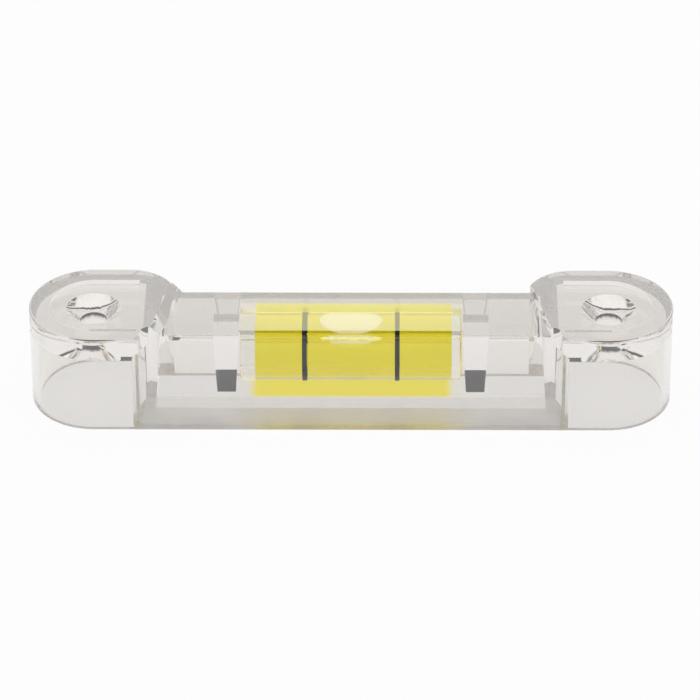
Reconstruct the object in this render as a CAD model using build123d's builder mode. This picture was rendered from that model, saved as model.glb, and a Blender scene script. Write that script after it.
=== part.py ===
"""Screw-mount spirit level: a clear moulded housing with a bubble vial in its bar.

The length runs along X, the front with the sloped foot faces -Y, and the part stands on Z = 0.
The origin is the middle of the footprint. All sizes are in millimetres.
"""

import os
from math import cos, radians, sin, sqrt

from build123d import *

# Ears
ear_width = 15.0  # also twice the radius of the round outer end
ear_height = 12.5
ear_wall = 0.8
ear_plate = 2.5  # solid under the recess, which holds the countersink
hollow_inset = 5.9  # from the screw axis to the hollow's straight inner side
front_corner_inset = 5.5  # from the screw axis to the ear's front inner corner
front_fillet = 1.3  # hollow corner where the ear runs into the bar's front
back_corner_inset = 4.0  # from the screw axis to where the back inner corner starts to turn
back_corner_radius = 5.8
rim_fillet = 0.35
step_run = 1.1  # along X, of the slope from the ear's top down onto the bar's top

# Recess and screw hole in each ear
recess_rim = 2.4
recess_depth = 0.6
recess_inset = 5.2  # from the screw axis to the recess's straight inner side
screw_hole = 3.2
countersink = 6.4
countersink_angle = 90.0

# Bar between the ears
bar_width = 9.15
bar_height = 11.25
side_wall = 0.8
bar_roof = 1.0
bar_edge_fillet = 0.25
rib_thickness = 3.0  # at the roof
rib_draft = 0.6  # how far each end of a pocket leans out between the roof and the underside
rib_foot = 3.0  # height of the ribs' lower ends, over the channel that joins the pockets
side_pocket_length = 6.2  # at the roof
pocket_end_radius = 1.5  # where a side pocket's outer end turns into the roof
end_web = 1.3  # between a side pocket and the hollow of the ear beside it, at the underside

# Foot along the front
foot_lip = 0.8
foot_rise = 2.55

# Vial
tube_diameter = 7.2
tube_length = 25.8
tube_wall = 0.75
tube_end = 1.15  # the closed right end
plug_length = 1.75
tube_edge = 0.3
end_clearance = 0.1  # between the tube's ends and the ribs
seat_clearance = 0.05  # glue line between the rings and the roof
bubble_length = 7.3
bubble_edge_angle = 52.0  # from the crown of the bore to where the liquid meets it beside the bubble
bubble_depth_share = 0.66  # of the bore's radius

# Index rings
ring_spacing = 10.8
ring_width = 0.55
ring_thickness = 0.12

# Worked out from the sizes above, along the length from the vial to the screw axes
rib_inner = tube_length / 2 + end_clearance
rib_outer = rib_inner + rib_thickness
side_pocket_end = rib_outer + side_pocket_length
hollow_x = side_pocket_end + rib_draft + end_web
ear_x = hollow_x + hollow_inset

# Worked out from the sizes above, across and in height
ear_radius = ear_width / 2
bar_half = bar_width / 2
corner_x = ear_x - front_corner_inset
fillet_end_x = corner_x - front_fillet
turn_x = ear_x - back_corner_inset
turn_y = ear_radius - back_corner_radius
neck_x = turn_x - sqrt(back_corner_radius**2 - (bar_half - turn_y) ** 2)
roof_z = bar_height - bar_roof
pocket_half = bar_half - side_wall
tube_radius = tube_diameter / 2
bore_radius = tube_radius - tube_wall
vial_z = roof_z - seat_clearance - ring_thickness - tube_radius
tube_left = -tube_length / 2
liquid_left = tube_left + plug_length
liquid_right = tube_length / 2 - tube_end


def ear_outline():
    """Right ear seen from above: round outer end, sharp front inner corner, rounded back inner corner."""
    outer_end = ThreePointArc((ear_x, -ear_radius), (ear_x + ear_radius, 0), (ear_x, ear_radius))
    back = Line(outer_end @ 1, (turn_x, ear_radius))
    turn = RadiusArc(back @ 1, (neck_x, bar_half), -back_corner_radius)
    neck = Line(turn @ 1, (fillet_end_x, -bar_half))
    hollow = RadiusArc(neck @ 1, (corner_x, -bar_half - front_fillet), front_fillet)
    side = Line(hollow @ 1, (corner_x, -ear_radius))
    Line(side @ 1, outer_end @ 0)


def pocket(x_low, x_high):
    """Pocket from the roof down to the underside, its ends drawn apart on the way down."""
    middle = (x_low + x_high) / 2
    with BuildSketch(Plane.XY.offset(roof_z)) as ceiling:
        with Locations((middle, 0)):
            Rectangle(x_high - x_low, 2 * pocket_half)
    with BuildSketch(Plane.XY) as mouth:
        with Locations((middle, 0)):
            Rectangle(x_high - x_low + 2 * rib_draft, 2 * pocket_half)
    loft([ceiling.sketch.face(), mouth.sketch.face()], mode=Mode.SUBTRACT)


# Housing
plate_bottom = ear_height - recess_depth - ear_plate

with BuildPart() as housing:
    # Ears, softened along the rim but not where they run into the bar
    with BuildSketch() as ear_plan:
        with BuildLine():
            ear_outline()
        make_face()
        mirror(about=Plane.YZ)
    extrude(amount=ear_height)
    top_rim = housing.edges().group_by(Axis.Z)[-1]
    rim = top_rim.filter_by(lambda e: abs(e.center().X) > corner_x or e.center().Y > bar_half)
    fillet(rim, rim_fillet)

    # Bar, run into the ears, with the foot along its front
    with BuildSketch(Plane.YZ) as bar_section:
        with BuildLine():
            Polyline(
                (bar_half, 0),
                (bar_half, bar_height),
                (-bar_half, bar_height),
                (-bar_half, foot_rise),
                (-ear_radius, foot_lip),
                (-ear_radius, 0),
                close=True,
            )
        make_face()
    extrude(amount=corner_x + 1, both=True)
    bar_edges = housing.edges().filter_by(Axis.X).filter_by_position(Axis.Z, bar_height, bar_height)
    fillet(bar_edges, bar_edge_fillet)

    # Slope from each ear's top down onto the bar's top, rooted in the roof
    for x, y in ((neck_x, bar_half), (fillet_end_x, -bar_half)):
        with BuildSketch(Plane.XZ.offset(-y)):
            with BuildLine():
                Polyline(
                    (x, ear_height),
                    (x - step_run, bar_height),
                    (x - step_run, roof_z),
                    (x, roof_z),
                    close=True,
                )
            make_face()
    slope = loft()
    mirror(slope, about=Plane.YZ)

    # Recess in each ear's top, round at its outer end and straight at the inner one
    recess_half = ear_radius - recess_rim
    with BuildSketch(Plane.XY.offset(ear_height)) as recesses:
        with BuildLine():
            end = ThreePointArc(
                (ear_x, -recess_half), (ear_x + recess_half, 0), (ear_x, recess_half)
            )
            Polyline(
                end @ 1,
                (ear_x - recess_inset, recess_half),
                (ear_x - recess_inset, -recess_half),
                end @ 0,
            )
        make_face()
        mirror(about=Plane.YZ)
    extrude(amount=-recess_depth, mode=Mode.SUBTRACT)

    # Hollow under each ear, with the ear's outline moved in by the wall, stopped short by the end web
    with BuildSketch() as hollows:
        with BuildLine():
            ear_outline()
        make_face()
        offset(amount=-ear_wall)
        with Locations((hollow_x, 0)):
            Rectangle(2 * ear_width, ear_width, align=(Align.MIN, Align.CENTER), mode=Mode.INTERSECT)
        mirror(about=Plane.YZ)
    extrude(amount=plate_bottom, mode=Mode.SUBTRACT)

    # Countersunk screw holes
    with Locations(Plane.XY.offset(ear_height - recess_depth)):
        with GridLocations(2 * ear_x, 0, 2, 1):
            CounterSinkHole(screw_hole / 2, countersink / 2, counter_sink_angle=countersink_angle)

    # Pockets between the ribs, and the channel under the ribs
    pocket(-rib_inner, rib_inner)
    pocket(rib_outer, side_pocket_end)
    pocket(-side_pocket_end, -rib_outer)
    roof_edges = housing.edges().filter_by(Axis.Y).filter_by_position(Axis.Z, roof_z, roof_z)
    outer_ends = roof_edges.filter_by(lambda e: abs(e.center().X) > (rib_outer + side_pocket_end) / 2)
    fillet(outer_ends, pocket_end_radius)
    Box(
        2 * rib_outer,
        2 * pocket_half,
        rib_foot,
        align=(Align.CENTER, Align.CENTER, Align.MIN),
        mode=Mode.SUBTRACT,
    )
housing.part.label = "housing"

# Vial tube, closed at its right end
vial_axis = Plane.YZ.offset(tube_left)
with BuildPart() as vial_tube:
    with BuildSketch(vial_axis):
        with Locations((0, vial_z)):
            Circle(tube_radius)
    extrude(amount=tube_length)
    fillet(vial_tube.faces().sort_by(Axis.X)[-1].edges(), tube_edge)
    with BuildSketch(vial_axis):
        with Locations((0, vial_z)):
            Circle(bore_radius)
    extrude(amount=liquid_right - tube_left, mode=Mode.SUBTRACT)
vial_tube.part.label = "vial_tube"

# Plug that seals the tube's left end
with BuildPart() as vial_plug:
    with BuildSketch(vial_axis):
        with Locations((0, vial_z)):
            Circle(bore_radius)
    extrude(amount=plug_length)
vial_plug.part.label = "vial_plug"

# The bubble is cut by a body of revolution whose axis lies above the bore
bubble_depth = bubble_depth_share * bore_radius
half_chord = bore_radius * sin(radians(bubble_edge_angle))
edge_rise = bore_radius * cos(radians(bubble_edge_angle)) - bore_radius + bubble_depth
bubble_radius = (edge_rise**2 + half_chord**2) / (2 * edge_rise)
bubble_z = vial_z + bore_radius - bubble_depth + bubble_radius
crown_share = sqrt(1 - ((bubble_z - vial_z - bore_radius) / bubble_radius) ** 2)
bubble_half = bubble_length / 2 / crown_share

with BuildPart() as spirit_liquid:
    with BuildSketch(Plane.YZ.offset(liquid_left)):
        with Locations((0, vial_z)):
            Circle(bore_radius)
    extrude(amount=liquid_right - liquid_left)
    with BuildSketch(Plane.XZ) as bubble_section:
        with Locations((0, bubble_z)):
            Ellipse(bubble_half, bubble_radius)
            with Locations((0, bubble_radius / 2)):
                Rectangle(2 * bubble_half, bubble_radius, mode=Mode.SUBTRACT)
    bubble_axis = Axis((0, 0, bubble_z), (1, 0, 0))
    revolve(axis=bubble_axis, mode=Mode.SUBTRACT)
spirit_liquid.part.label = "spirit_liquid"


def index_ring(x, label):
    """Black band round the tube that marks one end of the level bubble."""
    with BuildPart() as ring:
        with BuildSketch(Plane.YZ.offset(x - ring_width / 2)):
            with Locations((0, vial_z)):
                Circle(tube_radius + ring_thickness)
                Circle(tube_radius, mode=Mode.SUBTRACT)
        extrude(amount=ring_width)
    ring.part.label = label
    return ring


ring_left = index_ring(-ring_spacing / 2, "index_ring_left")
ring_right = index_ring(ring_spacing / 2, "index_ring_right")

os.makedirs("parts", exist_ok=True)
for piece in (housing, vial_tube, vial_plug, spirit_liquid, ring_left, ring_right):
    export_step(piece.part, f"parts/{piece.part.label}.step")
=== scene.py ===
"""Looks of the clear screw-mount spirit level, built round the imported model.

Lengths are in metres. X runs along the level, -Y is the front with the sloped foot, +Z is up.
"""

import math

import bmesh
import bpy
from mathutils import Matrix, Vector


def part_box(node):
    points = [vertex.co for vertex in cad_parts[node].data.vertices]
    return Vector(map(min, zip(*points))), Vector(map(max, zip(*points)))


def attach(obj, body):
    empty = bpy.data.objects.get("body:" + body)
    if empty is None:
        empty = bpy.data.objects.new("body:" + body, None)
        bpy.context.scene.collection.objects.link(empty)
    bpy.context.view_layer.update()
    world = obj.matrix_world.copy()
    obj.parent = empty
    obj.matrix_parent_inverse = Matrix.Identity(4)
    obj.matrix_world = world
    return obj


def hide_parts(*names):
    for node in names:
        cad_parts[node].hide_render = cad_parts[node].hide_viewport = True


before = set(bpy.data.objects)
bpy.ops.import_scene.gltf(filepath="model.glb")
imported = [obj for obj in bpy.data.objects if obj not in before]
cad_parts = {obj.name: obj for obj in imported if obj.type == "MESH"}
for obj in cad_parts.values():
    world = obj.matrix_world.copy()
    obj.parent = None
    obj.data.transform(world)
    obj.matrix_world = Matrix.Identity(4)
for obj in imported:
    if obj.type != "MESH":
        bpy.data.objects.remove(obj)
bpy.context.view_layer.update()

MM = 0.001

# Camera, fitted to the edges of the level in a picture of 700 by 700 pixels
PICTURE_WIDTH = 700
CAMERA_ELEVATION = math.radians(34.75)
CAMERA_AZIMUTH = math.radians(-0.63)
CAMERA_ROLL = math.radians(-0.235)
CAMERA_DISTANCE = 581.5 * MM
CAMERA_TARGET = Vector((-0.127 * MM, 0.0, 6.11 * MM))
FOCAL_PIXELS = 4967.0
SENSOR_WIDTH = 36.0
CLIP_START = 0.01
CLIP_END = 20.0

LIGHT_BOUNCES = 32

# Refractive indices
ACRYLIC_IOR = 1.49
SPIRIT_IOR = 1.38
JOINED_IOR = 1.0  # where glue or liquid lies against the plastic, and light goes nearly straight on

# Dye of the spirit: what a density of 1 would leave of each colour, and its density per metre
DYE = (0.97, 0.94, 0.02)
DYE_DENSITY = 800.0

# Vial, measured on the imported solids
tube_low, tube_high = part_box("vial_tube")
liquid_low, liquid_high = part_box("spirit_liquid")
plug_low, plug_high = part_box("vial_plug")
AXIS_Z = (tube_low.z + tube_high.z) / 2
TUBE_RADIUS = (tube_high.y - tube_low.y) / 2
BORE_RADIUS = (plug_high.y - plug_low.y) / 2
VIAL_STEPS = 128  # round the vial
WALL_GAP = 0.004 * MM  # keeps touching clear surfaces from lying in one place
OUTSIDE_SHARE = 0.98  # of the tube's radius; faces beyond it are on its outside
TUBE_CORNER = 0.3 * MM
PLUG_CORNER = 0.15 * MM
RING_CORNER = 0.04 * MM

# Bubble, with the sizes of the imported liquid
BUBBLE_LENGTH = 7.3 * MM
BUBBLE_EDGE_ANGLE = math.radians(52)
BUBBLE_DEPTH = 0.66 * BORE_RADIUS
BUBBLE_STEPS = 48  # along the bubble
ROOF_STEPS = 24  # across the bubble

# Glue between the vial and the roof, and where painted yellow light in the clear plastic stands in for the
# liquid's colour
GLUE_HALF_WIDTH = 2.8 * MM
PAINTED_YELLOW_FRONT_Y = 0.95 * MM  # behind this the glue is painted in the liquid's colour with a painted yellow glow, and not the liquid
PAINTED_TUBE_GLOW_Y = -2.6 * MM  # in front of this the tube's top is painted with a yellow glow for the liquid's light

# Housing
ROOF_Z = 10.25 * MM  # underside of the bar's roof
EDGE_RADIUS = 0.12 * MM
EDGE_ANGLE = math.radians(40)  # sharper edges get the radius
LEVEL_REACH = 0.02 * MM  # faces this near to a level lie on it
FACING_DOWN = -0.99  # highest z of the normal of a face that looks down

# Meshes
WELD = 0.0001 * MM  # corners closer than this become one
SLIVER = 0.00001 * MM  # faces thinner than this are dropped
FLAT_ANGLE = math.radians(0.4)  # faces that turn by less are one flat face
TURNED_ANGLE = math.radians(35)  # sharper edges of turned pieces break the smooth shading
RING_ANGLE = math.radians(50)

# Floor: share of its own white seen in the open, through the clear plastic, and in the painted
# pool of yellow light that stands in for the vial's light falling on it
BACKDROP_SHARE = 0.95
THROUGH_CLEAR_SHARE = 0.61
PAINTED_VIAL_LIGHT_SHARE = 0.85
FLOOR_SIZE = 3.0
FLOOR_Z = -0.02 * MM
FLOOR_TINT = (1.0, 1.0, 1.0, 1.0)

# Painted pool of yellow light on the floor under the vial: a pair is a half size and how far it fades out
# beyond that
PAINTED_VIAL_LIGHT_TINT = (0.88, 0.78, 0.07, 1.0)
PAINTED_VIAL_LIGHT_Y = 1.5 * MM
PAINTED_VIAL_LIGHT_ALONG = (11.0 * MM, 1.5 * MM)
PAINTED_VIAL_LIGHT_ACROSS = (1.5 * MM, 1.0 * MM)

# Room, by the direction that light comes from: X sideways, Y behind the level, Z up. A pair is
# where a fade starts and ends, or a half size and how far it fades out beyond that.
ROOM_TINT = (0.79, 0.765, 0.74, 1.0)
LOW_TINT = (0.85, 0.85, 0.85, 1.0)
LOW_Z = (0.45, 0.30)
BAND_TINT = (0.12, 0.12, 0.13, 1.0)
BAND_BOTTOM_Z = (0.50, 0.58)
BAND_TOP_Z = (0.78, 0.72)
BAND_FRONT_Y = (0.3, 0.5)
BAND_HALF_WIDTH = (0.6, 0.1)
CARD_TINT = (0.15, 0.15, 0.16, 1.0)
CARD_X = 1.0
CARD_HALF_WIDTH = (0.14, 0.08)
CARD_Z = 0.2
CARD_HALF_HEIGHT = (0.25, 0.1)

SOFTBOX_PLACE = (0.0, 0.2, 0.9)
SOFTBOX_SIZE = (1.0, 0.7)
SOFTBOX_POWER = 0.4


def light_through_clear_plastic():
    """Follow light for as long as it is caught inside the clear walls."""
    paths = bpy.context.scene.cycles
    paths.max_bounces = LIGHT_BOUNCES
    paths.glossy_bounces = LIGHT_BOUNCES
    paths.transmission_bounces = LIGHT_BOUNCES


def camera_frame():
    """Unit vectors of the camera: to its right, upwards, and back from the target."""
    back = Vector((
        -math.sin(CAMERA_AZIMUTH) * math.cos(CAMERA_ELEVATION),
        -math.cos(CAMERA_AZIMUTH) * math.cos(CAMERA_ELEVATION),
        math.sin(CAMERA_ELEVATION),
    ))
    right = Vector((math.cos(CAMERA_AZIMUTH), -math.sin(CAMERA_AZIMUTH), 0.0))
    up = back.cross(right)
    turn = Matrix.Rotation(CAMERA_ROLL, 3, back)
    return turn @ right, turn @ up, back


def add_camera():
    right, up, back = camera_frame()
    data = bpy.data.cameras.new("camera")
    data.sensor_width = SENSOR_WIDTH
    data.lens = FOCAL_PIXELS / PICTURE_WIDTH * SENSOR_WIDTH
    data.clip_start = CLIP_START
    data.clip_end = CLIP_END
    camera = bpy.data.objects.new("camera", data)
    bpy.context.scene.collection.objects.link(camera)
    turn = Matrix((right, up, back)).transposed().to_4x4()
    camera.matrix_world = Matrix.Translation(CAMERA_TARGET + CAMERA_DISTANCE * back) @ turn
    bpy.context.scene.camera = camera


# Shader nodes


def feed(tree, source, socket):
    """Link an output to the socket, or set the socket to a value."""
    if isinstance(source, bpy.types.NodeSocket):
        tree.links.new(source, socket)
    else:
        socket.default_value = source


def mix_colors(tree, factor, first, second):
    """First colour where the factor is 0, and second where it is 1."""
    color_a, color_b, color_result = 6, 7, 2
    mix = tree.nodes.new("ShaderNodeMix")
    mix.data_type = "RGBA"
    feed(tree, factor, mix.inputs["Factor"])
    feed(tree, first, mix.inputs[color_a])
    feed(tree, second, mix.inputs[color_b])
    return mix.outputs[color_result]


def mix_values(tree, factor, first, second):
    """First value where the factor is 0, and second where it is 1."""
    mix = tree.nodes.new("ShaderNodeMapRange")
    feed(tree, factor, mix.inputs["Value"])
    feed(tree, first, mix.inputs["To Min"])
    feed(tree, second, mix.inputs["To Max"])
    return mix.outputs["Result"]


def calculate(tree, operation, first, second=0.0):
    node = tree.nodes.new("ShaderNodeMath")
    node.operation = operation
    feed(tree, first, node.inputs[0])
    feed(tree, second, node.inputs[1])
    return node.outputs[0]


def ramp_between(tree, value, low, high):
    """0 below low, 1 above high, and a smooth step between them."""
    step = tree.nodes.new("ShaderNodeMapRange")
    step.interpolation_type = "SMOOTHSTEP"
    step.inputs["From Min"].default_value = low
    step.inputs["From Max"].default_value = high
    tree.links.new(value, step.inputs["Value"])
    return step.outputs["Result"]


def near(tree, value, middle, reach, soft):
    """1 within reach of the middle, and 0 from soft beyond it."""
    offset = calculate(tree, "SUBTRACT", value, middle)
    distance = calculate(tree, "ABSOLUTE", offset)
    return ramp_between(tree, distance, reach + soft, reach)


def new_group(name, inputs, outputs):
    """Shader node group with its sockets, and its input and output nodes."""
    group = bpy.data.node_groups.new(name, "ShaderNodeTree")
    for label, kind, value in inputs:
        socket = group.interface.new_socket(label, in_out="INPUT", socket_type=kind)
        socket.default_value = value
    for label, kind in outputs:
        group.interface.new_socket(label, in_out="OUTPUT", socket_type=kind)
    return group, group.nodes.new("NodeGroupInput"), group.nodes.new("NodeGroupOutput")


def moulded_surface_group():
    """Slow waves left by the mould, faint flow marks, and fine handling marks in the gloss."""
    group, given, result = new_group(
        "moulded_surface",
        [
            ("Wave Scale", "NodeSocketFloat", 180.0),
            ("Wave Strength", "NodeSocketFloat", 0.05),
            ("Wave Height", "NodeSocketFloat", 0.0001),
            ("Smooth Roughness", "NodeSocketFloat", 0.01),
            ("Worn Roughness", "NodeSocketFloat", 0.05),
            ("Tint", "NodeSocketColor", (0.97, 0.96, 0.94, 1.0)),
            ("Deep Tint", "NodeSocketColor", (0.95, 0.94, 0.91, 1.0)),
        ],
        [
            ("Color", "NodeSocketColor"),
            ("Roughness", "NodeSocketFloat"),
            ("Normal", "NodeSocketVector"),
        ],
    )
    nodes, links = group.nodes, group.links
    place = nodes.new("ShaderNodeTexCoord")
    waves = nodes.new("ShaderNodeTexNoise")
    waves.inputs["Detail"].default_value = 2.0
    links.new(place.outputs["Object"], waves.inputs["Vector"])
    links.new(given.outputs["Wave Scale"], waves.inputs["Scale"])
    bump = nodes.new("ShaderNodeBump")
    links.new(waves.outputs["Fac"], bump.inputs["Height"])
    links.new(given.outputs["Wave Strength"], bump.inputs["Strength"])
    links.new(given.outputs["Wave Height"], bump.inputs["Distance"])
    links.new(bump.outputs["Normal"], result.inputs["Normal"])

    marks = nodes.new("ShaderNodeTexNoise")
    marks.inputs["Scale"].default_value = 900.0
    marks.inputs["Detail"].default_value = 6.0
    marks.inputs["Distortion"].default_value = 1.5
    links.new(place.outputs["Object"], marks.inputs["Vector"])
    worn = nodes.new("ShaderNodeMapRange")
    worn.inputs["From Min"].default_value = 0.45
    worn.inputs["From Max"].default_value = 0.75
    links.new(marks.outputs["Fac"], worn.inputs["Value"])
    links.new(given.outputs["Smooth Roughness"], worn.inputs["To Min"])
    links.new(given.outputs["Worn Roughness"], worn.inputs["To Max"])
    links.new(worn.outputs["Result"], result.inputs["Roughness"])

    tint = mix_colors(group, waves.outputs["Fac"], given.outputs["Tint"], given.outputs["Deep Tint"])
    links.new(tint, result.inputs["Color"])
    return group


MOULDED = moulded_surface_group()

# Materials


def new_material(name):
    material = bpy.data.materials.new(name)
    material.use_nodes = True
    return material, material.node_tree, material.node_tree.nodes["Principled BSDF"]


def add_moulded_surface(tree, shader, values):
    """Feed the shader from the moulded surface with these values."""
    surface = tree.nodes.new("ShaderNodeGroup")
    surface.node_tree = MOULDED
    for label, value in values.items():
        surface.inputs[label].default_value = value
    tree.links.new(surface.outputs["Color"], shader.inputs["Base Color"])
    tree.links.new(surface.outputs["Roughness"], shader.inputs["Roughness"])
    tree.links.new(surface.outputs["Normal"], shader.inputs["Normal"])


def clear_material(name, ior, tint, deep_tint, wave_strength=0.0, smooth=0.0, worn=0.0):
    """Clear moulded plastic, or the liquid, seen from the side that ior is given for."""
    material, tree, shader = new_material(name)
    add_moulded_surface(
        tree,
        shader,
        {
            "Tint": (*tint, 1.0),
            "Deep Tint": (*deep_tint, 1.0),
            "Wave Strength": wave_strength,
            "Smooth Roughness": smooth,
            "Worn Roughness": worn,
        },
    )
    shader.inputs["Transmission Weight"].default_value = 1.0
    shader.inputs["IOR"].default_value = ior
    return material


def dye(material):
    """Let the liquid take its colour from how far light goes through it."""
    tree = material.node_tree
    absorption = tree.nodes.new("ShaderNodeVolumeAbsorption")
    absorption.inputs["Color"].default_value = (*DYE, 1.0)
    absorption.inputs["Density"].default_value = DYE_DENSITY
    tree.links.new(absorption.outputs["Volume"], tree.nodes["Material Output"].inputs["Volume"])


def cloud_with_painted_glow(material, clear_share, painted_glow_color, glow):
    """Cloud a clear material, and give its cloudy part a painted glow, lit though it is no lamp."""
    shader = material.node_tree.nodes["Principled BSDF"]
    shader.inputs["Transmission Weight"].default_value = clear_share
    shader.inputs["Emission Color"].default_value = (*painted_glow_color, 1.0)
    shader.inputs["Emission Strength"].default_value = glow


def paint_yellow_light_when_grazed(material):
    """Painted light: the liquid's yellow and a yellow glow where the bubble's front is seen at a slant, for
    light caught inside the wall.
    """
    tree = material.node_tree
    shader = tree.nodes["Principled BSDF"]
    slant = tree.nodes.new("ShaderNodeLayerWeight")
    slant.inputs["Blend"].default_value = 0.5
    step = tree.nodes.new("ShaderNodeMapRange")
    step.inputs["From Min"].default_value = 0.15
    step.inputs["From Max"].default_value = 0.28
    tree.links.new(slant.outputs["Facing"], step.inputs["Value"])
    # Painted colours and glow: white straight on, painted yellow light at a slant.
    for socket, straight, grazed in (
        ("Base Color", (1.0, 1.0, 0.96, 1.0), (0.98, 0.93, 0.1, 1.0)),
        ("Emission Color", (1.0, 0.98, 1.0, 1.0), (0.7, 0.64, 0.02, 1.0)),
    ):
        color = mix_colors(tree, step.outputs["Result"], straight, grazed)
        tree.links.new(color, shader.inputs[socket])


def ring_material():
    """Black ink or band, a little uneven in gloss."""
    material, tree, shader = new_material("ring_black")
    add_moulded_surface(
        tree,
        shader,
        {
            "Tint": (0.004, 0.004, 0.004, 1.0),
            "Deep Tint": (0.01, 0.01, 0.01, 1.0),
            "Wave Scale": 1500.0,
            "Smooth Roughness": 0.4,
            "Worn Roughness": 0.6,
        },
    )
    shader.inputs["Specular IOR Level"].default_value = 0.2
    return material


HOUSING_CLEAR = clear_material(
    "housing_clear", ACRYLIC_IOR, (0.965, 0.945, 0.925), (0.945, 0.925, 0.9), 0.05, 0.01, 0.04
)
VIAL_CLEAR = clear_material(
    "vial_clear", ACRYLIC_IOR, (0.98, 0.98, 0.96), (0.97, 0.97, 0.95), 0.03, 0.005, 0.02
)
BORE_PASS = clear_material("bore_wetted", JOINED_IOR, (1, 1, 1), (1, 1, 1))
SPIRIT_WALL = clear_material("spirit_at_wall", JOINED_IOR, (1, 1, 0.85), (1, 1, 0.85))
dye(SPIRIT_WALL)
# Liquid's face at the bubble: dyed, partly clouded white with a faint painted glow, a painted glint that
# whitens the bubble.
SPIRIT_FREE_PAINTED_GLINT = clear_material("spirit_at_bubble_painted_glint", SPIRIT_IOR, (1, 1, 0.9), (1, 1, 0.9))
dye(SPIRIT_FREE_PAINTED_GLINT)
cloud_with_painted_glow(SPIRIT_FREE_PAINTED_GLINT, 0.75, (1.0, 0.98, 0.8), 0.08)
# Glued roof over the vial: a white cloud lit by the scene, plus a painted glow; together a painted sheen of
# light over the vial.
GLUE_PAINTED_SHEEN = clear_material("glued_roof_painted_sheen", JOINED_IOR, (1, 1, 1), (0.98, 0.98, 0.97))
cloud_with_painted_glow(GLUE_PAINTED_SHEEN, 0.5, (1.0, 0.98, 0.7), 0.22)
# Glue behind the vial's middle: painted in the liquid's yellow, with a painted yellow glow.
GLUE_PAINTED_YELLOW_LIGHT = clear_material("glue_with_painted_yellow_light", JOINED_IOR, (1, 0.97, 0.42), (1, 0.96, 0.36))
cloud_with_painted_glow(GLUE_PAINTED_YELLOW_LIGHT, 0.25, (1.0, 0.96, 0.35), 0.34)
# Glue over the liquid: pale cloud with a painted glow, a painted sheen of light over the yellow.
GLUE_PAINTED_PALE_SHEEN = clear_material("glue_over_liquid_painted_sheen", JOINED_IOR, (1, 1, 0.9), (0.99, 0.98, 0.86))
cloud_with_painted_glow(GLUE_PAINTED_PALE_SHEEN, 0.7, (1.0, 0.99, 0.6), 0.29)
# Bore over the bubble: mostly cloudy white with a faint painted glow, painted white for the bubble's bright
# reflections.
BUBBLE_BACK_PAINTED_WHITE = clear_material("bore_over_bubble_painted_white", ACRYLIC_IOR, (1, 1, 0.96), (0.98, 0.98, 0.94))
cloud_with_painted_glow(BUBBLE_BACK_PAINTED_WHITE, 0.2, (1.0, 0.98, 1.0), 0.1)
# Bore in front of the bubble: cloudy white with a faint painted glow, and painted yellow light where seen at
# a slant.
BUBBLE_FRONT_PAINTED_GLOW = clear_material(
    "bore_in_front_of_bubble_painted_glow", ACRYLIC_IOR, (1, 1, 0.96), (0.98, 0.98, 0.94)
)
cloud_with_painted_glow(BUBBLE_FRONT_PAINTED_GLOW, 0.3, (1.0, 0.98, 1.0), 0.1)
paint_yellow_light_when_grazed(BUBBLE_FRONT_PAINTED_GLOW)
# Tube's outer top at the front: painted yellow with a painted yellow glow where the liquid's light would
# show.
TUBE_FRONT_PAINTED_GLOW = clear_material("tube_front_painted_glow", JOINED_IOR, (1, 0.96, 0.1), (1, 0.95, 0.08))
cloud_with_painted_glow(TUBE_FRONT_PAINTED_GLOW, 0.35, (0.95, 0.88, 0.0), 0.17)
RING_BLACK = ring_material()
UNDERSIDE_GROUND = clear_material(
    "housing_underside", ACRYLIC_IOR, (0.92, 0.9, 0.875), (0.9, 0.88, 0.85), 0.02, 0.45, 0.55
)

# Pieces


def finish_piece(name, mesh_builder, materials, nodes):
    """Turn a closed bmesh into a piece that stands for CAD nodes, with its faces turned outwards."""
    mesh = bpy.data.meshes.new(name)
    bmesh.ops.remove_doubles(mesh_builder, verts=mesh_builder.verts, dist=WELD)
    bmesh.ops.recalc_face_normals(mesh_builder, faces=mesh_builder.faces)
    if mesh_builder.calc_volume(signed=True) < 0:
        bmesh.ops.reverse_faces(mesh_builder, faces=mesh_builder.faces)
    mesh_builder.to_mesh(mesh)
    mesh_builder.free()
    for polygon in mesh.polygons:
        polygon.use_smooth = True
    for material in materials:
        mesh.materials.append(material)
    piece = bpy.data.objects.new(name, mesh)
    bpy.context.scene.collection.objects.link(piece)
    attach(piece, "root")
    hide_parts(*nodes)
    return piece


def sharpen(piece, angle):
    """Mark edges sharper than the angle so that smooth shading stops there."""
    builder = bmesh.new()
    builder.from_mesh(piece.data)
    for edge in builder.edges:
        if len(edge.link_faces) == 2:
            edge.smooth = edge.calc_face_angle(0.0) < angle
    builder.to_mesh(piece.data)
    builder.free()


def split_ceiling(builder):
    """Underside of the roof over the vial, cut where its look changes."""
    ceiling = [
        face
        for face in builder.faces
        if face.normal.z < FACING_DOWN
        and abs(face.calc_center_median().z - ROOF_Z) < LEVEL_REACH
        and abs(face.calc_center_median().x) < tube_high.x
    ]
    across, along = (0.0, 1.0, 0.0), (1.0, 0.0, 0.0)
    for place, normal in (
        ((0.0, -GLUE_HALF_WIDTH, 0.0), across),
        ((0.0, PAINTED_YELLOW_FRONT_Y, 0.0), across),
        ((0.0, GLUE_HALF_WIDTH, 0.0), across),
        ((liquid_low.x, 0.0, 0.0), along),
        ((liquid_high.x, 0.0, 0.0), along),
    ):
        around = list({edge for face in ceiling for edge in face.edges})
        corners = list({vert for face in ceiling for vert in face.verts})
        cut = bmesh.ops.bisect_plane(
            builder, geom=corners + around + ceiling, plane_co=place, plane_no=normal
        )
        ceiling = [item for item in cut["geom"] if isinstance(item, bmesh.types.BMFace)]
    return ceiling


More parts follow.
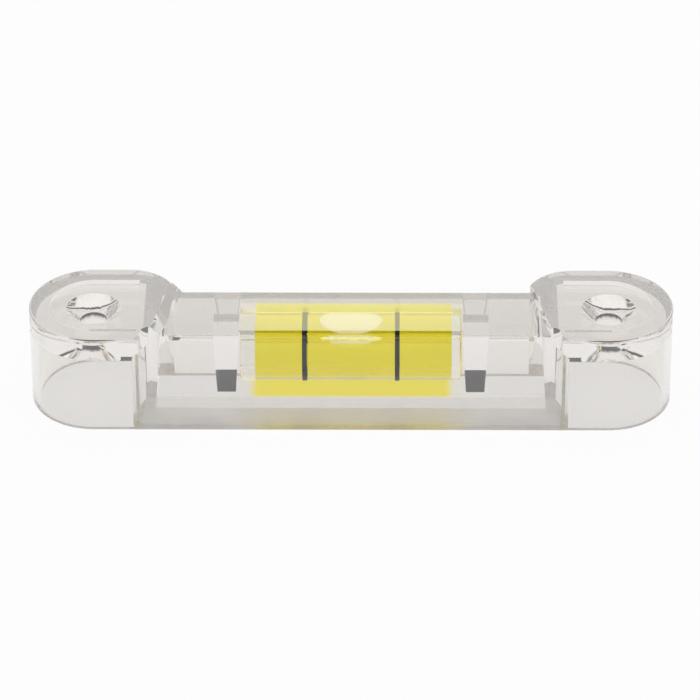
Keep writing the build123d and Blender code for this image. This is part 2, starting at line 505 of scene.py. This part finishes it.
def ceiling_look(middle):
    """Material of the roof's underside at this place."""
    over_liquid = liquid_low.x < middle.x < liquid_high.x
    if PAINTED_YELLOW_FRONT_Y < middle.y < GLUE_HALF_WIDTH and over_liquid:
        return GLUE_PAINTED_YELLOW_LIGHT
    if abs(middle.y) < GLUE_HALF_WIDTH:
        return GLUE_PAINTED_PALE_SHEEN if over_liquid else GLUE_PAINTED_SHEEN
    return BORE_PASS if middle.y < 0 else HOUSING_CLEAR


def housing_piece():
    """The clear moulding with the small edge radii of a polished mould, hazy with painted glow where the
    vial is glued.
    """
    looks = [HOUSING_CLEAR, GLUE_PAINTED_SHEEN, BORE_PASS, UNDERSIDE_GROUND, GLUE_PAINTED_YELLOW_LIGHT, GLUE_PAINTED_PALE_SHEEN]
    builder = bmesh.new()
    builder.from_mesh(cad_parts["housing"].data)
    bmesh.ops.remove_doubles(builder, verts=builder.verts, dist=WELD)
    bmesh.ops.dissolve_limit(
        builder, angle_limit=FLAT_ANGLE, verts=builder.verts, edges=builder.edges
    )
    for face in split_ceiling(builder):
        face.material_index = looks.index(ceiling_look(face.calc_center_median()))
    for face in builder.faces:
        if face.normal.z < FACING_DOWN and face.calc_center_median().z < LEVEL_REACH:
            face.material_index = looks.index(UNDERSIDE_GROUND)
    piece = finish_piece("housing_shell", builder, looks, ["housing"])
    edges = piece.modifiers.new("edge_radius", "BEVEL")
    edges.width = EDGE_RADIUS
    edges.segments = 3
    edges.limit_method = "ANGLE"
    edges.angle_limit = EDGE_ANGLE
    edges.harden_normals = True
    edges.use_clamp_overlap = True
    flats = piece.modifiers.new("flat_faces_stay_flat", "WEIGHTED_NORMAL")
    flats.mode = "FACE_AREA"
    flats.weight = 100
    flats.keep_sharp = True


def ring_of(builder, x, radius, steps=VIAL_STEPS, start=0.0, end=2 * math.pi, closed=True):
    """Vertices round the vial's axis at x, angle 0 at the top."""
    count = steps if closed else steps + 1
    turn = (end - start) / steps
    return [
        builder.verts.new((
            x,
            radius * math.sin(start + i * turn),
            AXIS_Z + radius * math.cos(start + i * turn),
        ))
        for i in range(count)
    ]


def bridge(builder, first, second, closed=True, material=0):
    count = len(first)
    for i in range(count if closed else count - 1):
        j = (i + 1) % count
        face = builder.faces.new((first[i], first[j], second[j], second[i]))
        face.material_index = material


def lathe(builder, profile, material=0):
    """Turn (x, radius) points about the vial's axis; a radius of 0 closes the end."""
    rings = []
    for x, radius in profile:
        if radius > 0:
            rings.append(ring_of(builder, x, radius))
        else:
            rings.append([builder.verts.new((x, 0.0, AXIS_Z))])
    for first, second in zip(rings, rings[1:]):
        if len(first) == 1:
            for i in range(VIAL_STEPS):
                face = builder.faces.new((first[0], second[(i + 1) % VIAL_STEPS], second[i]))
                face.material_index = material
        elif len(second) == 1:
            for i in range(VIAL_STEPS):
                face = builder.faces.new((first[i], first[(i + 1) % VIAL_STEPS], second[0]))
                face.material_index = material
        else:
            bridge(builder, first, second, True, material)


def outer_corner(x, radius, inward, size, steps=5):
    """Quarter round at a turned profile's outer corner, in the order of rising x."""
    points = []
    for i in range(steps + 1):
        angle = math.pi / 2 * i / steps
        along = x + inward * size * (1 - math.cos(angle))
        points.append((along, radius - size * (1 - math.sin(angle))))
    return points if inward > 0 else points[::-1]


def bubble_shape():
    """Radius, centre height and half length of the round body that cuts the bubble."""
    half_chord = BORE_RADIUS * math.sin(BUBBLE_EDGE_ANGLE)
    edge_rise = BORE_RADIUS * math.cos(BUBBLE_EDGE_ANGLE) - BORE_RADIUS + BUBBLE_DEPTH
    radius = (edge_rise**2 + half_chord**2) / (2 * edge_rise)
    centre = BORE_RADIUS - BUBBLE_DEPTH + radius
    half = BUBBLE_LENGTH / 2 / math.sqrt(1 - ((centre - BORE_RADIUS) / radius) ** 2)
    return radius, centre, half


def bubble_edge(x):
    """Half angle of the bubble's edge round the bore, at x from the bubble's middle."""
    radius, centre, half = bubble_shape()
    section = radius * math.sqrt(max(0.0, 1 - (x / half) ** 2))
    height = (BORE_RADIUS**2 + centre**2 - section**2) / (2 * centre)
    return math.acos(min(1.0, height / BORE_RADIUS))


def bubble_stations():
    """Places along the bubble, closer together near its ends."""
    return [
        -BUBBLE_LENGTH / 2 * math.cos(math.pi * i / BUBBLE_STEPS) for i in range(BUBBLE_STEPS + 1)
    ]


def bore_wall(builder, x_low, x_high, radius, material, roof_material, inward):
    """Bore surface with the patch over the bubble in its own material, or left out."""
    xs = [x_low] + bubble_stations() + [x_high]
    wall_rows, roof_rows = [], []
    for x in xs:
        angle = bubble_edge(x) if abs(x) <= BUBBLE_LENGTH / 2 else 0.0
        wall_rows.append(ring_of(builder, x, radius, VIAL_STEPS, angle, 2 * math.pi - angle, False))
        if roof_material is not None:
            roof_rows.append(ring_of(builder, x, radius, ROOF_STEPS, -angle, angle, False))
    for first, second in zip(wall_rows, wall_rows[1:]):
        bridge(builder, *((second, first) if inward else (first, second)), False, material)
    for first, second in zip(roof_rows[1:-1], roof_rows[2:-1]):
        bridge(builder, *((second, first) if inward else (first, second)), False, roof_material)


def vial_tube_piece():
    """Clear tube with rounded outer corners, closed at the right, its bore split at the bubble."""
    looks = [VIAL_CLEAR, BORE_PASS, BUBBLE_BACK_PAINTED_WHITE, BUBBLE_FRONT_PAINTED_GLOW, TUBE_FRONT_PAINTED_GLOW]
    wetted = looks.index(BORE_PASS)
    over_bubble = looks.index(BUBBLE_BACK_PAINTED_WHITE)
    builder = bmesh.new()
    x0, x1 = tube_low.x, tube_high.x
    profile = [(x0, BORE_RADIUS)]
    profile += outer_corner(x0, TUBE_RADIUS, 1, TUBE_CORNER / 2)
    profile += [(liquid_low.x, TUBE_RADIUS), (liquid_high.x, TUBE_RADIUS)]
    profile += outer_corner(x1, TUBE_RADIUS, -1, TUBE_CORNER)
    profile += [(x1, 0.0)]
    lathe(builder, profile)
    lathe(builder, [(liquid_low.x, BORE_RADIUS), (x0, BORE_RADIUS)])
    bore_wall(builder, liquid_low.x, liquid_high.x, BORE_RADIUS, wetted, over_bubble, True)
    for face in builder.faces:
        if face.material_index == over_bubble and face.calc_center_median().y < 0:
            face.material_index = looks.index(BUBBLE_FRONT_PAINTED_GLOW)
    lathe(builder, [(liquid_high.x, 0.0), (liquid_high.x, BORE_RADIUS)], wetted)
    bmesh.ops.remove_doubles(builder, verts=builder.verts, dist=2 * WELD)
    piece = finish_piece("vial_tube_clear", builder, looks, ["vial_tube"])
    sharpen(piece, TURNED_ANGLE)
    # Outer top of the tube: painted yellow glow over the liquid at the front, and light going straight on
    # elsewhere.
    for polygon in piece.data.polygons:
        centre = polygon.center
        outside = math.hypot(centre.y, centre.z - AXIS_Z) > OUTSIDE_SHARE * TUBE_RADIUS
        if outside and centre.z > AXIS_Z and centre.y < GLUE_HALF_WIDTH:
            over_liquid = liquid_low.x < centre.x < liquid_high.x
            look = TUBE_FRONT_PAINTED_GLOW if over_liquid and centre.y < PAINTED_TUBE_GLOW_Y else BORE_PASS
            polygon.material_index = looks.index(look)


def plug_piece():
    """Plug in the tube's left end, its rim rounded at both ends."""
    builder = bmesh.new()
    radius = BORE_RADIUS - WALL_GAP
    x0, x1 = plug_low.x, plug_high.x - WALL_GAP
    profile = [(x0, 0.0)]
    profile += outer_corner(x0, radius, 1, PLUG_CORNER)
    profile += outer_corner(x1, radius, -1, PLUG_CORNER / 2)
    profile += [(x1, 0.0)]
    lathe(builder, profile)
    piece = finish_piece("vial_plug_clear", builder, [VIAL_CLEAR], ["vial_plug"])
    sharpen(piece, TURNED_ANGLE)


def spirit_piece():
    """Liquid that fills the bore, with the bubble left out of its top."""
    looks = [SPIRIT_WALL, SPIRIT_FREE_PAINTED_GLINT]
    builder = bmesh.new()
    radius = BORE_RADIUS - WALL_GAP
    x0, x1 = liquid_low.x + WALL_GAP, liquid_high.x - WALL_GAP
    bore_wall(builder, x0, x1, radius, looks.index(SPIRIT_WALL), None, False)
    for x in (x0, x1):
        lathe(builder, [(x, 0.0), (x, radius)])
    centre = bubble_shape()[1]
    rows = []
    for x in bubble_stations():
        angle = bubble_edge(x)
        edge_y, edge_z = radius * math.sin(angle), radius * math.cos(angle)
        reach = math.atan2(edge_y, centre - edge_z)
        span = math.hypot(edge_y, centre - edge_z)
        row = []
        for i in range(ROOF_STEPS + 1):
            a = -reach + 2 * reach * i / ROOF_STEPS
            row.append(builder.verts.new((x, span * math.sin(a), AXIS_Z + centre - span * math.cos(a))))
        rows.append(row)
    for first, second in zip(rows, rows[1:]):
        bridge(builder, first, second, False, looks.index(SPIRIT_FREE_PAINTED_GLINT))
    bmesh.ops.remove_doubles(builder, verts=builder.verts, dist=2 * WELD)
    bmesh.ops.dissolve_degenerate(builder, dist=SLIVER, edges=builder.edges)
    piece = finish_piece("spirit_fill", builder, looks, ["spirit_liquid"])
    sharpen(piece, TURNED_ANGLE)


def ring_piece(node):
    """Index ring with softened edges, tight round the tube."""
    low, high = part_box(node)
    outer = (high.y - low.y) / 2
    inner = TUBE_RADIUS + WALL_GAP
    builder = bmesh.new()
    profile = [(low.x, inner)]
    profile += outer_corner(low.x, outer, 1, RING_CORNER, 3)
    profile += outer_corner(high.x, outer, -1, RING_CORNER, 3)
    profile += [(high.x, inner), (low.x, inner)]
    lathe(builder, profile)
    piece = finish_piece(node + "_band", builder, [RING_BLACK], [node])
    sharpen(piece, RING_ANGLE)


# Stage and light


def stage_material():
    """Pale floor that shows as white behind the level, keeps part of its shadow, with a painted pool of
    yellow light under the vial.
    """
    material, tree, shader = new_material("pale_floor")
    shader.inputs["Base Color"].default_value = (0.9, 0.9, 0.9, 1.0)
    shader.inputs["Roughness"].default_value = 0.9
    path = tree.nodes.new("ShaderNodeLightPath")
    through_clear = path.outputs["Is Transmission Ray"]
    seen = calculate(tree, "MAXIMUM", path.outputs["Is Camera Ray"], path.outputs["Is Glossy Ray"])
    open_share = calculate(tree, "MULTIPLY", seen, BACKDROP_SHARE)
    place = tree.nodes.new("ShaderNodeTexCoord")
    split = tree.nodes.new("ShaderNodeSeparateXYZ")
    tree.links.new(place.outputs["Object"], split.inputs["Vector"])
    # Painted pool of yellow light, placed on the floor under the vial and seen only through the clear
    # plastic
    along = near(tree, split.outputs["X"], 0.0, *PAINTED_VIAL_LIGHT_ALONG)
    across = near(tree, split.outputs["Y"], PAINTED_VIAL_LIGHT_Y, *PAINTED_VIAL_LIGHT_ACROSS)
    painted_vial_light = calculate(tree, "MULTIPLY", along, across)
    share_with_painted_light = mix_values(tree, painted_vial_light, THROUGH_CLEAR_SHARE, PAINTED_VIAL_LIGHT_SHARE)
    share = mix_values(tree, through_clear, open_share, share_with_painted_light)
    painted_yellow_light = calculate(tree, "MULTIPLY", painted_vial_light, through_clear)
    glow = tree.nodes.new("ShaderNodeEmission")
    tree.links.new(mix_colors(tree, painted_yellow_light, FLOOR_TINT, PAINTED_VIAL_LIGHT_TINT), glow.inputs["Color"])
    mix = tree.nodes.new("ShaderNodeMixShader")
    tree.links.new(share, mix.inputs[0])
    tree.links.new(shader.outputs["BSDF"], mix.inputs[1])
    tree.links.new(glow.outputs["Emission"], mix.inputs[2])
    tree.links.new(mix.outputs["Shader"], tree.nodes["Material Output"].inputs["Surface"])
    return material


def add_floor():
    bpy.ops.mesh.primitive_plane_add(size=FLOOR_SIZE, location=(0, 0, FLOOR_Z))
    floor = bpy.context.object
    floor.name = "floor"
    floor.data.materials.append(stage_material())


def add_world():
    """Pale room, a dark band behind the table over the white backdrop, and dark cards at the sides."""
    world = bpy.data.worlds.new("studio")
    bpy.context.scene.world = world
    world.use_nodes = True
    tree = world.node_tree
    place = tree.nodes.new("ShaderNodeTexCoord")
    split = tree.nodes.new("ShaderNodeSeparateXYZ")
    tree.links.new(place.outputs["Generated"], split.inputs["Vector"])
    x, y, z = split.outputs["X"], split.outputs["Y"], split.outputs["Z"]
    room = mix_colors(tree, ramp_between(tree, z, *LOW_Z), ROOM_TINT, LOW_TINT)

    over_backdrop = ramp_between(tree, z, *BAND_BOTTOM_Z)
    under_ceiling = ramp_between(tree, z, *BAND_TOP_Z)
    behind = ramp_between(tree, y, *BAND_FRONT_Y)
    opposite = near(tree, x, 0.0, *BAND_HALF_WIDTH)
    height = calculate(tree, "MULTIPLY", over_backdrop, under_ceiling)
    back_of_room = calculate(tree, "MULTIPLY", height, behind)
    band = calculate(tree, "MULTIPLY", back_of_room, opposite)
    room_with_band = mix_colors(tree, band, room, BAND_TINT)

    left = near(tree, x, -CARD_X, *CARD_HALF_WIDTH)
    right = near(tree, x, CARD_X, *CARD_HALF_WIDTH)
    sides = calculate(tree, "MAXIMUM", left, right)
    cards = calculate(tree, "MULTIPLY", sides, near(tree, z, CARD_Z, *CARD_HALF_HEIGHT))
    tree.links.new(
        mix_colors(tree, cards, room_with_band, CARD_TINT), tree.nodes["Background"].inputs["Color"]
    )


def add_softbox():
    data = bpy.data.lights.new("top_softbox", "AREA")
    data.energy = SOFTBOX_POWER
    data.shape = "RECTANGLE"
    data.size, data.size_y = SOFTBOX_SIZE
    lamp = bpy.data.objects.new("top_softbox", data)
    bpy.context.scene.collection.objects.link(lamp)
    lamp.location = SOFTBOX_PLACE
    towards_level = Vector((0.0, 0.0, 0.0)) - Vector(SOFTBOX_PLACE)
    lamp.rotation_euler = towards_level.to_track_quat("-Z", "Y").to_euler()


bpy.context.scene.view_settings.view_transform = "Standard"
light_through_clear_plastic()
add_camera()
housing_piece()
vial_tube_piece()
plug_piece()
spirit_piece()
for ring_node in ("index_ring_left", "index_ring_right"):
    ring_piece(ring_node)
add_floor()
add_world()
add_softbox()
